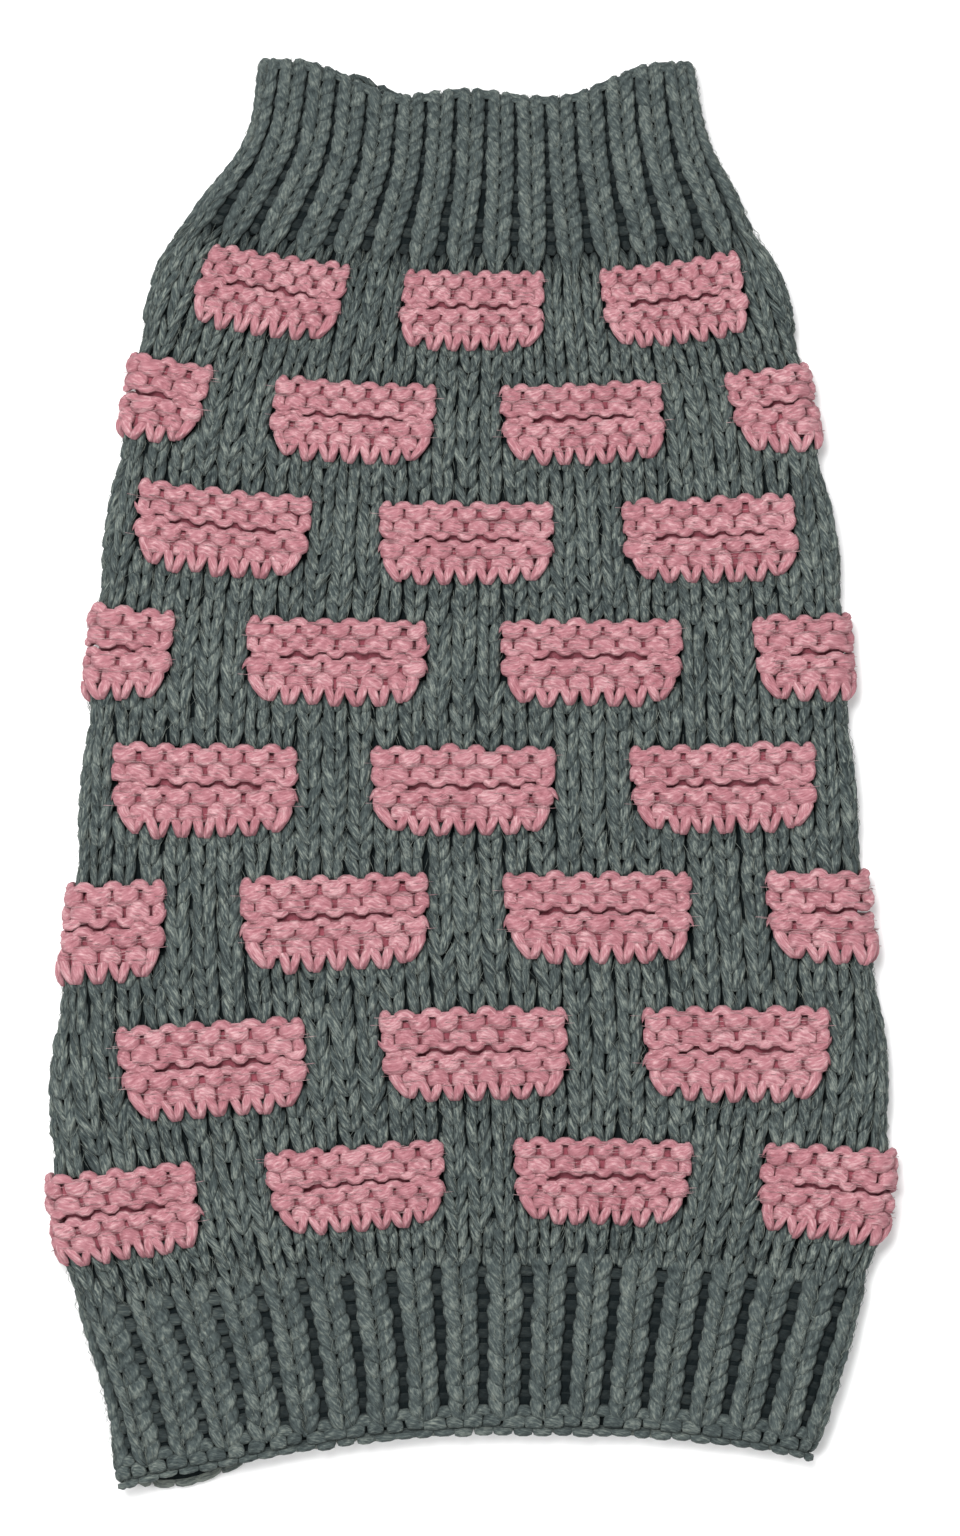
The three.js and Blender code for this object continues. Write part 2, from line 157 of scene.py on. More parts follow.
def cloth_point(row, across, out):
    """A point of the tube in metres: row, distance over the cloth from the centre, height off it."""
    row, across, out = np.broadcast_arrays(*(np.asarray(v, float) for v in (row, across, out)))
    station = station_at(row)
    side = np.where(across < 0, -1.0, 1.0)
    half = half_section(station, side)
    distance = np.abs(across)
    on_top = distance <= half["flat"]
    under = distance >= half["under"]
    towards_fold = np.clip((distance / half["flat"] - SWELL_START) / (1 - SWELL_START), 0, 1)
    top_z = station["height"] + (station["fold_height"] - station["height"]) * towards_fold ** 2 + out
    angle = (distance - half["flat"]) / half["radius"]
    fold_x = half["flat"] + (half["radius"] + out) * np.sin(angle)
    fold_skin_x = half["flat"] + half["radius"] * np.sin(angle)
    fold_z = half["radius"] + (half["radius"] + out) * np.cos(angle)
    under_x = half["flat"] - (distance - half["under"])
    x = np.where(on_top, distance, np.where(under, under_x, fold_x))
    skin_x = np.where(on_top, distance, np.where(under, under_x, fold_skin_x))
    z = np.where(on_top, top_z, np.where(under, -out, fold_z))
    share = side * skin_x / half["reach"]
    y = row_y(station, share) + np.where(under, peek_y(row, share), 0)
    return np.stack([station["centre"] + side * x, y, z], axis=-1) * MM


print("collar rim, middle:", cloth_point(-13, 0, 0).round(4))

# %% [markdown]
# ## The pattern
# The blocks repeat every ten stitches and seven rows, and every second row of blocks is moved over by
# half. Between two blocks three grey columns stand a little proud, and the plain rows above and below
# a block sink, because the thick blocks pull the cloth in.

# %% The pattern's layout
PATTERN_STITCHES = 10
PATTERN_ROWS = 7
BLOCK_ROWS = 8
BLOCK_HALF = 3.6
BLOCK_FIRST_ROW = 1
BLOCK_LENGTH = 5
BAND_SINK = 1.0
COLUMN_RISE = 0.5
COLLAR_BASE_SINK = 1.3
COLLAR_BASE_ROW = -0.3
BASE_REACH = 3.5
BAND_REACH = 1.7
COLUMN_REACH = 2.2
COLUMN_START = 3.0


def block_row_of(row):
    return np.clip(np.floor(np.asarray(row, float) / PATTERN_ROWS), 0, BLOCK_ROWS - 1)


def block_offset(row):
    """Stitches from the nearest block centre: 0 in the middle of a block, 5 between two blocks."""
    shift = np.where(block_row_of(row) % 2 == 0, 0, PATTERN_STITCHES / 2)
    return lambda stitch: (stitch - shift + PATTERN_STITCHES / 2) % PATTERN_STITCHES - PATTERN_STITCHES / 2


def rows_from_band(row):
    """Rows from the middle of the nearest plain band."""
    return np.abs((row + PATTERN_ROWS / 2) % PATTERN_ROWS - PATTERN_ROWS / 2)


def soft_form(row, stitch):
    """Height of the pattern's soft hills and hollows on the upper side of the body, in mm."""
    row, stitch = np.broadcast_arrays(np.asarray(row, float), np.asarray(stitch, float))
    in_body = (row > -1) & (row < BODY_ROWS + 1)
    from_band = rows_from_band(row)
    band = smooth(1 - from_band / BAND_REACH)
    between = np.abs(np.abs(block_offset(row)(stitch)) - PATTERN_STITCHES / 2)
    column = smooth(1 - between / COLUMN_REACH) * smooth(from_band / COLUMN_START)
    dent = COLLAR_BASE_SINK * smooth(1 - np.abs(row - COLLAR_BASE_ROW) / BASE_REACH)
    return np.where(in_body, COLUMN_RISE * column - BAND_SINK * band, 0) - dent


print("soft form between blocks and in a band, mm:", soft_form([3.5, 7], [5, 0]).round(2))

# %% [markdown]
# ## How each piece counts its stitches
# The back panel is counted from its centre stitch. The collar and hem are rings of ribs, so their
# last stitches meet under the belly. The belly panel lies face down, so it is counted the other way.
# Near the collar's rim and the hem's edge a row rolls over the edge of the cloth.

# %% Maps from stitches to places
COLLAR_HALF_STITCHES = 32
HEM_HALF_STITCHES = 36
BELLY_HALF_STITCHES = 11
EDGE_ROLL = 2.4
EDGE_ROW_HEIGHT = {"collar": 3.26, "hem": 4.1}
UPPER_TURN = 1.2


def upper_share(row, across):
    """1 on the upper side, fading to 0 round the folds."""
    half = half_section(station_at(row), np.where(across < 0, -1, 1))
    return 1 - smooth((np.abs(across) - half["flat"]) / half["radius"] - UPPER_TURN)


def back_map(row, stitch, out):
    across = stitch * station_at(row)["pitch"]
    return cloth_point(row, across, out + soft_form(row, stitch) * upper_share(row, across))


def ring_across(row, stitch, half_count):
    """Stitches keep their width on top, and the rest share what is left underneath."""
    station = station_at(row)
    whole = half_section(station, np.where(stitch < 0, -1, 1))["whole"]
    count = np.abs(stitch)
    top_count = half_count / 2
    top = np.minimum(count, top_count) * station["pitch"]
    under = np.maximum(count - top_count, 0) * (whole - top_count * station["pitch"]) / top_count
    return np.sign(stitch) * (top + under)


def rolled(row, edge, direction, out, point_of):
    """Past the edge the cloth turns down round its own thickness."""
    row_height = EDGE_ROW_HEIGHT["collar" if direction < 0 else "hem"]
    start = edge - direction * EDGE_ROLL / row_height
    past = np.maximum(direction * (row - start), 0) * row_height
    turn = np.clip(past / EDGE_ROLL, 0, math.pi * 0.75)
    kept_row = np.where(past > 0, start, row)
    lowered = out - (EDGE_ROLL + out) * (1 - np.cos(turn))
    point = point_of(kept_row, np.where(past > 0, lowered, out))
    point[..., 1] -= direction * (EDGE_ROLL + np.minimum(out, 0)) * np.sin(turn) * MM
    return point


def collar_map(row, stitch, out):
    row, stitch, out = np.broadcast_arrays(row, stitch, out)

    def point_of(kept_row, kept_out):
        soft = soft_form(kept_row, stitch)
        across = ring_across(kept_row, stitch, COLLAR_HALF_STITCHES)
        return cloth_point(kept_row, across, kept_out + soft * upper_share(kept_row, across))
    return rolled(row, -COLLAR_ROWS, -1, out, point_of)


def hem_map(row, stitch, out):
    row, stitch, out = np.broadcast_arrays(row, stitch, out)

    def point_of(kept_row, kept_out):
        return cloth_point(kept_row, ring_across(kept_row, stitch, HEM_HALF_STITCHES), kept_out)
    return rolled(row, HEM_EDGE_ROW, 1, out, point_of)


def belly_map(row, stitch, out):
    row, stitch, out = np.broadcast_arrays(*(np.asarray(v, float) for v in (row, stitch, out)))
    station = station_at(row)
    side = np.where(stitch > 0, -1.0, 1.0)
    reach = half_section(station, side)["reach"]
    x = -stitch / BELLY_HALF_STITCHES * (SEAM_SHARE * reach - PIECE_GAP)
    y = row_y(station, x / reach)
    return np.stack([station["centre"] + x, y, -out], axis=-1) * MM


print("belly panel at row 10, left and right:", belly_map(10, [11, -11], 0)[:, 0].round(4))

# %% [markdown]
# ## Camera, floor and light
# The photo looks straight down, so the camera hangs over the sweater with its top towards the collar.
# A long lens from far away keeps the outline free of perspective. The floor is plain and nearly
# white, and large soft lamps make the gentle shadows of a studio. A ring of lamps could be softer
# still, but then the loops would lose their shape.

# %% Camera
IMAGE_WIDTH, IMAGE_HEIGHT = 960, 1536
METRES_PER_PIXEL = 0.000266
GARMENT_PIXEL = (474.5, 774.5)
SENSOR = 36.0
CAMERA_HEIGHT = 2.2
EYE_LEVEL = 0.010

camera_data = bpy.data.cameras.new("camera")
camera_data.sensor_width = SENSOR
camera_data.lens = SENSOR * (CAMERA_HEIGHT - EYE_LEVEL) / (IMAGE_HEIGHT * METRES_PER_PIXEL)
camera_data.clip_end = 20
camera = bpy.data.objects.new("camera", camera_data)
camera.location = ((IMAGE_WIDTH / 2 - GARMENT_PIXEL[0]) * METRES_PER_PIXEL,
                   (GARMENT_PIXEL[1] - IMAGE_HEIGHT / 2) * METRES_PER_PIXEL, CAMERA_HEIGHT)
bpy.context.scene.collection.objects.link(camera)
bpy.context.scene.camera = camera
print("lens, mm:", round(camera_data.lens, 1))

# %% Floor and lights
FLOOR_HALF = 3.0


def new_material(name):
    material = bpy.data.materials.new(name)
    material.use_nodes = True
    return material, material.node_tree.nodes, material.node_tree.links


def floor_material():
    material, nodes, links = new_material("pale_floor")
    shader = nodes["Principled BSDF"]
    shader.inputs["Roughness"].default_value = 0.9
    shader.inputs["Specular IOR Level"].default_value = 0.2
    noise = nodes.new("ShaderNodeTexNoise")
    noise.inputs["Scale"].default_value = 3.0
    ramp = nodes.new("ShaderNodeValToRGB")
    ramp.color_ramp.elements[0].color = (0.86, 0.86, 0.86, 1)
    ramp.color_ramp.elements[1].color = (0.90, 0.90, 0.90, 1)
    coordinates = nodes.new("ShaderNodeTexCoord")
    links.new(coordinates.outputs["Object"], noise.inputs["Vector"])
    links.new(noise.outputs["Fac"], ramp.inputs["Fac"])
    links.new(ramp.outputs["Color"], shader.inputs["Base Color"])
    return material


bpy.ops.object.select_all(action="DESELECT")
bpy.ops.mesh.primitive_plane_add(size=2 * FLOOR_HALF, location=(0, 0, 0))
floor = bpy.context.object
floor.name = "floor"
floor.data.materials.append(floor_material())

LAMPS = {
    "overhead": {"place": (-0.30, 0.50, 1.5), "size": 0.7, "power": 34.0},
    "side": {"place": (0.9, -0.3, 1.1), "size": 0.8, "power": 9.0},
    "other_side": {"place": (-0.9, -0.3, 1.1), "size": 0.8, "power": 9.0},
}


def add_lamp(name, place, size, power):
    lamp = bpy.data.lights.new(name, "AREA")
    lamp.size = size
    lamp.energy = power
    holder = bpy.data.objects.new(name, lamp)
    holder.location = place
    length = math.sqrt(sum(v * v for v in place))
    holder.rotation_euler = (math.acos(place[2] / length), 0, math.atan2(place[1], place[0]) + math.pi / 2)
    bpy.context.scene.collection.objects.link(holder)


for lamp_name, facts in LAMPS.items():
    add_lamp(lamp_name, **facts)

world = bpy.data.worlds.new("studio")
world.use_nodes = True
world.node_tree.nodes["Background"].inputs["Color"].default_value = (1, 1, 1, 1)
world.node_tree.nodes["Background"].inputs["Strength"].default_value = 0.30
bpy.context.scene.world = world
bpy.context.scene.view_settings.view_transform = "Standard"

# %% [markdown]
# ## Yarn
# Thick yarn is a bundle of plies of soft fibres. Its colour is never even: light and dark fibres run
# along the strand and twist round it. The material reads two attributes that every stitch carries:
# "strand", the place inside the yarn in millimetres across, along and out, and "stitch", a number of
# its own for each stitch. A noise stretched along the strand gives the fibres, and a wave round the
# strand gives the plies. The same two drive the bump. A third attribute, "depth", paints shade: the
# deeper a point lies among the loops, the more its colour is mixed towards a dark shade colour.

# %% The yarn material
# The "deep" colours are painted shade, mixed in where a strand lies deep among its neighbours. The pink one is a dark
# rose: painted shade with the pink of light bounced between the rolls.
YARNS = {
    "grey": {"dark": (0.013, 0.018, 0.019), "mid": (0.052, 0.066, 0.065), "light": (0.185, 0.207, 0.183),
             "deep": (0.005, 0.008, 0.009), "fuzz": (0.24, 0.29, 0.28)},
    "pink": {"dark": (0.215, 0.072, 0.087), "mid": (0.335, 0.146, 0.166), "light": (0.53, 0.335, 0.345),
             "deep": (0.205, 0.038, 0.057), "fuzz": (0.60, 0.39, 0.41)},
}


def math_node(nodes, links, operation, first, second=None):
    node = nodes.new("ShaderNodeMath")
    node.operation = operation
    for socket, value in zip(node.inputs, (first, second)):
        if value is None:
            continue
        if isinstance(value, (int, float)):
            socket.default_value = value
        else:
            links.new(value, socket)
    return node.outputs[0]


def yarn_material(name, yarn, shade=1.0, fibre=1.4, ply=1.0, sheen=0.16, shine=0.14):
    material, nodes, links = new_material(name)
    shader = nodes["Principled BSDF"]
    shader.inputs["Roughness"].default_value = 0.92
    shader.inputs["Specular IOR Level"].default_value = shine
    shader.inputs["Sheen Weight"].default_value = sheen
    shader.inputs["Sheen Roughness"].default_value = 0.6
    shader.inputs["Sheen Tint"].default_value = (*YARNS[yarn]["fuzz"], 1)

    strand = nodes.new("ShaderNodeAttribute")
    strand.attribute_name = "strand"
    stitch = nodes.new("ShaderNodeAttribute")
    stitch.attribute_name = "stitch"
    parts = nodes.new("ShaderNodeSeparateXYZ")
    links.new(strand.outputs["Vector"], parts.inputs[0])
    across, along, out = parts.outputs

    def op(operation, first, second=None):
        return math_node(nodes, links, operation, first, second)

    leaning = op("ADD", across, op("MULTIPLY", along, 0.25))
    place = nodes.new("ShaderNodeCombineXYZ")
    links.new(op("MULTIPLY", leaning, 1.9), place.inputs[0])
    links.new(op("MULTIPLY", along, 0.45), place.inputs[1])
    links.new(op("MULTIPLY", out, 1.9), place.inputs[2])
    fibres = nodes.new("ShaderNodeTexNoise")
    fibres.noise_dimensions = "4D"
    fibres.inputs["Scale"].default_value = 1.0
    fibres.inputs["Detail"].default_value = 4.0
    fibres.inputs["Roughness"].default_value = 0.65
    links.new(place.outputs[0], fibres.inputs["Vector"])
    links.new(op("MULTIPLY", stitch.outputs["Fac"], 40.0), fibres.inputs["W"])

    turn = op("ADD", op("MULTIPLY", op("ARCTAN2", out, across), 2.0), op("MULTIPLY", along, 1.3))
    plies = op("MULTIPLY", op("SINE", turn), 0.5 * ply)

    ramp = nodes.new("ShaderNodeValToRGB")
    ramp.color_ramp.elements[0].position = 0.28
    ramp.color_ramp.elements[0].color = (*(shade * c for c in YARNS[yarn]["dark"]), 1)
    ramp.color_ramp.elements[1].position = 0.74
    ramp.color_ramp.elements[1].color = (*(shade * c for c in YARNS[yarn]["light"]), 1)
    middle = ramp.color_ramp.elements.new(0.5)
    middle.color = (*(shade * c for c in YARNS[yarn]["mid"]), 1)
    between_stitches = op("MULTIPLY", op("SUBTRACT", stitch.outputs["Fac"], 0.5), 0.10)
    contrast = op("ADD", op("MULTIPLY", op("SUBTRACT", fibres.outputs["Fac"], 0.5), fibre), 0.5)
    tone = op("ADD", op("ADD", contrast, between_stitches), op("MULTIPLY", plies, 0.05))
    links.new(tone, ramp.inputs["Fac"])
    # Painted shade: the "depth" attribute mixes the colour towards the dark "deep" colour, where shade falls between
    # the loops.
    depth = nodes.new("ShaderNodeAttribute")
    depth.attribute_name = "depth"
    painted_shade_mix = nodes.new("ShaderNodeMix")
    painted_shade_mix.data_type = "RGBA"
    links.new(op("MULTIPLY", depth.outputs["Fac"], 0.9), painted_shade_mix.inputs["Factor"])
    links.new(ramp.outputs["Color"], painted_shade_mix.inputs["A"])
    painted_shade_mix.inputs["B"].default_value = (*YARNS[yarn]["deep"], 1)
    links.new(painted_shade_mix.outputs["Result"], shader.inputs["Base Color"])

    bump = nodes.new("ShaderNodeBump")
    bump.inputs["Strength"].default_value = 0.7
    bump.inputs["Distance"].default_value = 0.0005
    links.new(op("ADD", op("MULTIPLY", fibres.outputs["Fac"], 1.4), plies), bump.inputs["Height"])
    links.new(bump.outputs["Normal"], shader.inputs["Normal"])
    return material


grey_yarn = yarn_material("grey_yarn_strands", "grey")
grey_rib = yarn_material("grey_rib_strands", "grey", fibre=0.9)
pink_yarn = yarn_material("pink_yarn_strands", "pink", fibre=1.0)
# A darker copy of the grey yarn, without sheen: painted shade for the cloth under the stitches, which shows only deep
# in the gaps and inside the openings.
grey_painted_shade = yarn_material("grey_yarn_painted_shade", "grey", shade=0.35, sheen=0.0, shine=0.05)
print("yarn materials:", [m.name for m in bpy.data.materials if "yarn" in m.name])

# %% [markdown]
# ## One strand of yarn, modelled from listed rings
# Every stitch that shows is a short length of rope: the leg of a V, the bump of a purl, the arch
# between two bumps. Each is modelled once, lying flat at its real size. A circle is the start, and
# it is extruded from ring to ring, moved and resized on the way, so that it swells in the middle and
# thins out where the yarn dives under its neighbour.

# %% The strand helper
STITCH_WIDTH = 6.8
ROW_HEIGHT = 4.7


def model_strand(name, rings, axis, sides):
    """rings: (across, down, out, half_width, half_depth) in stitches, rows and mm. axis: x or y."""
    rings = np.array(rings, float)
    centres = rings[:, :3] * (STITCH_WIDTH, -ROW_HEIGHT, 1) * MM
    unit = ROW_HEIGHT if axis == "x" else STITCH_WIDTH
    sizes = rings[:, 3:] * (unit, 1) * MM
    turn = (0, math.pi / 2, 0) if axis == "x" else (math.pi / 2, 0, 0)
    bpy.ops.object.select_all(action="DESELECT")
    bpy.ops.mesh.primitive_circle_add(vertices=sides, radius=MM, fill_type="NGON",
                                      location=centres[0], rotation=turn)
    strand = bpy.context.object
    strand.name = name
    bpy.ops.object.transform_apply(location=True, rotation=True, scale=True)
    bpy.ops.object.mode_set(mode="EDIT")
    bpy.ops.mesh.select_all(action="SELECT")
    now = np.array([MM, MM])
    for index, (centre, size) in enumerate(zip(centres, sizes)):
        if index:
            bpy.ops.mesh.extrude_region_move(
                TRANSFORM_OT_translate={"value": tuple(centre - centres[index - 1])})
        wide, deep = size / now
        scale = (1, wide, deep) if axis == "x" else (wide, 1, deep)
        bpy.ops.transform.resize(value=scale, center_override=tuple(centre))
        now = size
    bpy.ops.mesh.select_all(action="SELECT")
    bpy.ops.mesh.normals_make_consistent(inside=False)
    bpy.ops.mesh.quads_convert_to_tris()
    bpy.ops.object.mode_set(mode="OBJECT")
    return keep_shape(strand, centres, axis)


def keep_shape(strand, centres, axis):
    """The strand's points in stitches, rows and mm, its faces, and its place inside the yarn."""
    points = np.array([v.co for v in strand.data.vertices], float)
    faces = np.array([list(p.vertices) for p in strand.data.polygons], int)
    run = 0 if axis == "x" else 1
    order = np.argsort(centres[:, run])
    inside = points.copy()
    for other in range(3):
        if other != run:
            inside[:, other] -= np.interp(points[:, run], centres[order, run], centres[order, other])
    inside = inside / MM
    if axis == "x":
        inside = inside[:, (1, 0, 2)]
    local = points / MM / (STITCH_WIDTH, -ROW_HEIGHT, 1)
    print(strand.name, "triangles:", len(faces))
    bpy.data.objects.remove(strand)
    return {"points": local, "faces": faces, "inside": inside}


# %% [markdown]
# ## The strands
# A plain stitch is a V of two legs: the lower tips lie on top and the upper ends dive behind the next
# V. The blocks and the edges are made of purl bumps: a short fat roll, with a thin arch over the dark
# slit between two rolls.

# %% Legs, rolls and arches
LEG_RINGS = [
    (0.09, 0.76, -1.7, 0.11, 0.8),
    (0.13, 0.56, -1.4, 0.19, 1.3),
    (0.20, 0.12, -1.45, 0.215, 1.45),
    (0.27, -0.30, -1.8, 0.205, 1.45),
    (0.33, -0.66, -2.5, 0.16, 1.2),
    (0.37, -0.92, -3.3, 0.09, 0.7),
]
RIB_RINGS = [
    (0.14, 0.80, -1.9, 0.13, 0.9),
    (0.19, 0.58, -1.65, 0.21, 1.45),
    (0.25, 0.18, -1.7, 0.25, 1.7),
    (0.29, -0.28, -1.95, 0.25, 1.7),
    (0.31, -0.66, -2.35, 0.20, 1.45),
    (0.31, -0.95, -3.0, 0.11, 0.85),
]
TIP_RINGS = [
    (0.07, 0.56, -1.2, 0.12, 0.6),
    (0.11, 0.38, -0.6, 0.18, 1.0),
    (0.18, 0.08, 0.0, 0.20, 1.25),
    (0.25, -0.22, 0.3, 0.20, 1.3),
    (0.31, -0.52, 0.4, 0.17, 1.2),
]
leg = model_strand("leg", LEG_RINGS, "y", 8)
plain_leg = model_strand("plain_leg", [LEG_RINGS[i] for i in (0, 1, 3, 5)], "y", 5)
rib_leg = model_strand("rib_leg", RIB_RINGS, "y", 8)
plain_rib_leg = model_strand("plain_rib_leg", [RIB_RINGS[i] for i in (0, 1, 3, 5)], "y", 5)
tip_leg = model_strand("tip_leg", TIP_RINGS, "y", 8)

roll = model_strand("roll", [
    (-0.475, 0.10, -0.9, 0.22, 1.0),
    (-0.41, 0.07, -0.25, 0.42, 1.55),
    (-0.18, 0.0, 0.0, 0.52, 1.8),
    (0.18, 0.0, 0.0, 0.52, 1.8),
    (0.41, 0.07, -0.25, 0.42, 1.55),
    (0.475, 0.10, -0.9, 0.22, 1.0),
], "x", 9)

corner_strand = model_strand("corner_strand", [
    (0.08, 0.56, -1.2, 0.13, 0.6),
    (0.15, 0.36, -0.5, 0.21, 1.1),
    (0.33, -0.06, 0.0, 0.26, 1.35),
    (0.48, -0.52, 0.2, 0.27, 1.45),
    (0.53, -0.92, -0.1, 0.22, 1.2),
    (0.51, -1.18, -0.9, 0.12, 0.7),
], "y", 8)

purl = model_strand("purl", [
    (-0.46, 0.05, -0.4, 0.20, 0.5),
    (-0.25, 0.02, 0.0, 0.38, 0.9),
    (0.25, 0.02, 0.0, 0.38, 0.9),
    (0.46, 0.05, -0.4, 0.20, 0.5),
], "x", 7)

arch = model_strand("arch", [
    (-0.46, 0.36, -0.9, 0.16, 0.8),
    (-0.32, 0.10, -0.1, 0.24, 1.15),
    (-0.12, -0.04, 0.3, 0.26, 1.25),
    (0.12, -0.04, 0.3, 0.26, 1.25),
    (0.32, 0.10, -0.1, 0.24, 1.15),
    (0.46, 0.36, -0.9, 0.16, 0.8),
], "x", 7)

FIBRE_RINGS = [
    (0.50, 0.0, -0.9, 0.014, 0.05),
    (0.0, 0.03, 0.15, 0.018, 0.08),
    (-0.50, 0.0, -0.9, 0.014, 0.05),
]
fibre_across = model_strand("fibre_across", FIBRE_RINGS, "x", 3)
fibre_along = model_strand("fibre_along", [(ring[1], ring[0], *ring[2:]) for ring in FIBRE_RINGS], "y", 3)

# %% [markdown]
# ## Laying stitches on the cloth
# A knitter repeats one movement, and so does this step: each strand is copied to its stitch and row,
# and every point of the copy goes through the map of its piece. Thousands of separate objects would
# be slow to open, so the copies of one piece are joined into one mesh. Small seeded differences in
# width, lean and height keep the knitting from looking like a machine's.

# %% The laying helpers
rng = np.random.default_rng(7244)
SHADE_FROM_DEPTH = 1.4
SHADE_DEPTH_SPAN = 2.4
FIBRE_TONE = 3.0
CLEAR_OF_FLOOR = 0.02 * MM
SHAKE = {"wide": 0.06, "long": 0.04, "out": 0.12, "across": 0.022, "lean": 0.045, "row": 0.04}


def lay(strand, place_map, rows, stitches, out=0.0, wide=1.0, long=1.0, lean=0.0, mirror=1, flip=1,
        jitter=1.0, crown=0.0, dim=0.0, tone=0.0):
    """Copies of a strand. mirror -1 turns it left for right, and flip -1 turns it upside down."""
    rows, stitches, out, wide, long, lean, dim = (
        np.broadcast_to(np.asarray(v, float), np.shape(rows))
        for v in (rows, stitches, out, wide, long, lean, dim))
    count = len(rows)
    if count == 0:
        return None
    shake = rng.normal(0, 1, (6, count, 1)) * jitter
    across = strand["points"][:, 0] * (wide[:, None] * (1 + SHAKE["wide"] * shake[0])) * mirror
    down = strand["points"][:, 1] * (long[:, None] * (1 + SHAKE["long"] * shake[1])) * flip
    height = strand["points"][:, 2] + SHAKE["out"] * shake[2]
    across = across - mirror * lean[:, None] * down + SHAKE["across"] * shake[3]
    across = across - SHAKE["lean"] * shake[4] * down
    row = rows[:, None] + down + SHAKE["row"] * shake[5]
    height = out[:, None] + height
    points = place_map(row, stitches[:, None] + across, height)
    # Painted shade: the deeper a point lies under the crown, the more of the dark shade colour it gets; each copy's
    # own extra shade value adds more or, below zero, takes some away.
    depth = np.clip((crown - height - SHADE_FROM_DEPTH) / SHADE_DEPTH_SPAN + dim[:, None], 0, 1)
    faces = strand["faces"] if mirror * flip > 0 else strand["faces"][:, ::-1]
    all_faces = faces[None] + (np.arange(count) * len(strand["points"]))[:, None, None]
    inside = np.broadcast_to(strand["inside"] * (mirror, 1, 1), points.shape)
    own = np.broadcast_to(rng.random((count, 1)) * (1 + tone) + 0.4 * tone, points.shape[:2])
    return {"points": points.reshape(-1, 3), "faces": all_faces.reshape(-1, 3),
            "inside": inside.reshape(-1, 3), "own": own.reshape(-1), "depth": depth.reshape(-1)}


def add_yarn_attributes(mesh, inside, own, depth):
    mesh.attributes.new("strand", "FLOAT_VECTOR", "POINT").data.foreach_set(
        "vector", np.ascontiguousarray(inside, np.float32).ravel())
    mesh.attributes.new("stitch", "FLOAT", "POINT").data.foreach_set(
        "value", np.ascontiguousarray(own, np.float32))
    mesh.attributes.new("depth", "FLOAT", "POINT").data.foreach_set(
        "value", np.ascontiguousarray(depth, np.float32))


def join_strands(name, batches, material):
    """One mesh object from several batches of laid strands."""
    batches = [b for b in batches if b is not None]
    starts = np.cumsum([0] + [len(b["points"]) for b in batches[:-1]])
    points = np.concatenate([b["points"] for b in batches])
    points[:, 2] = np.maximum(points[:, 2], CLEAR_OF_FLOOR)
    faces = np.concatenate([b["faces"] + start for b, start in zip(batches, starts)])
    mesh = bpy.data.meshes.new(name)
    mesh.vertices.add(len(points))
    mesh.vertices.foreach_set("co", np.ascontiguousarray(points, np.float32).ravel())
    mesh.loops.add(faces.size)
    mesh.loops.foreach_set("vertex_index", np.ascontiguousarray(faces, np.int32).ravel())
    mesh.polygons.add(len(faces))
    mesh.polygons.foreach_set("loop_start", np.arange(0, faces.size, 3, dtype=np.int32))
    mesh.update(calc_edges=True)
    mesh.polygons.foreach_set("use_smooth", np.ones(len(faces), bool))
    add_yarn_attributes(mesh, np.concatenate([b["inside"] for b in batches]),
                        np.concatenate([b["own"] for b in batches]),
                        np.concatenate([b["depth"] for b in batches]))
    mesh.materials.append(material)
    piece = bpy.data.objects.new(name, mesh)
    bpy.context.scene.collection.objects.link(piece)
    print(name, "triangles:", len(faces))
    return piece


def lay_fibres(strand, place_map, rows, stitches, each, out, crown=0.0):
    """Stray fibres, lighter than the yarn: so many at each stitch, every one with its own lean."""
    rows, stitches = np.repeat(rows, each), np.repeat(stitches, each)
    count = len(rows)
    rows = rows + rng.uniform(-0.5, 0.5, count)
    stitches = stitches + rng.uniform(-0.5, 0.5, count)
    return lay(strand, place_map, rows, stitches, out=out + rng.uniform(-0.3, 0.25, count),
               wide=rng.uniform(0.5, 1.0, count), long=rng.uniform(0.5, 1.1, count),
               lean=rng.normal(0, 0.3, count), crown=crown, tone=FIBRE_TONE)


def lay_vs(strand, place_map, rows, stitches, **options):
    """Whole plain stitches: a right leg and a left leg at each place."""
    return [lay(strand, place_map, rows, stitches, mirror=side, **options) for side in (1, -1)]


# %% [markdown]
# ## The cloth under the stitches
# Behind the loops lies the plain inner face of the knitting, which closes every gap and is what one
# sees inside the collar and through the leg openings. It is coloured in painted shade, a dark grey,
# because it shows only where shade falls. It starts as a flat grid, each point of the grid is moved
# to its place on the cloth, and a Solidify modifier gives it a wall.

# %% The cloth helper
CLOTH_OUT = -3.3
CLOTH_WALL = 1.0
SEAM_ROOM = 0.05
EDGE_ROOM = 0.3


